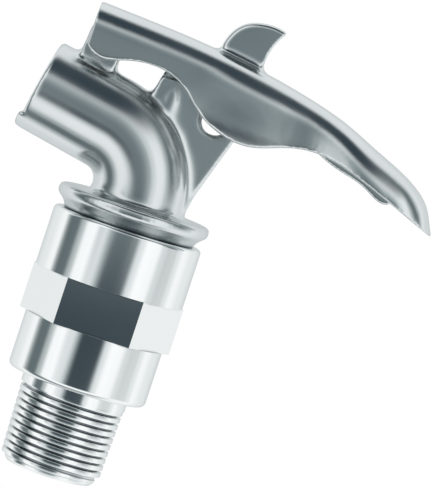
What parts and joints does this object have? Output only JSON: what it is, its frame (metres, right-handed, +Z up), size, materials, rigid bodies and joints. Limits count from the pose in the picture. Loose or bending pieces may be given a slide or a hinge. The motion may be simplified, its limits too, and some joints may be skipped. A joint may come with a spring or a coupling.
{
  "type": "drum tap",
  "caption": "Self-closing drum tap with a push lever, a hooked fin and a down-turned spout, on a hexagon inlet body with a tapered pipe thread.",
  "frame": {"origin": "on the inlet's axis, at the shoulder behind the drum thread, where the tap meets the drum", "axes": "+X out of the drum along the inlet, +Z up: the lever stands above and the spout points down"},
  "size_m": [0.1237, 0.0392, 0.1074],
  "materials": {
    "plated_casting": "bright plated zinc casting, cool grey",
    "bright_steel": "turned or drawn stainless steel",
    "turned_brass": "turned, bare",
    "black_rubber": "moulded, matte"
  },
  "bodies": {
    "body": {"inlet_body": "plated_casting", "spout_body": "plated_casting", "body_gasket": "black_rubber", "return_spring": "bright_steel"},
    "lever": {"lever": "plated_casting", "lever_pin": "bright_steel"},
    "valve": {"valve_stem": "bright_steel", "stem_ring_inner": "black_rubber", "stem_ring_outer": "black_rubber", "valve_seal": "black_rubber", "valve_plate": "turned_brass", "nut_washer": "bright_steel", "stem_nut": "turned_brass"}
  },
  "joints": [
    {"name": "lever_press", "type": "hinge", "parent": "body", "child": "lever", "pos_m": [0.0856, 0, -0.0196], "axis": [0, -1, 0], "range_deg": [0, 14], "stiffness_Nm_per_rad": 0.76, "springref_deg": -19.48},
    {"name": "valve_travel", "type": "slide", "parent": "body", "child": "valve", "axis": [-1, 0, 0], "range_m": [0, 0.0049], "deforming": ["return_spring"]}
  ],
  "couplings": [
    {"joint": "valve_travel", "follows": "lever_press", "m_per_rad": 0.02}
  ]
}
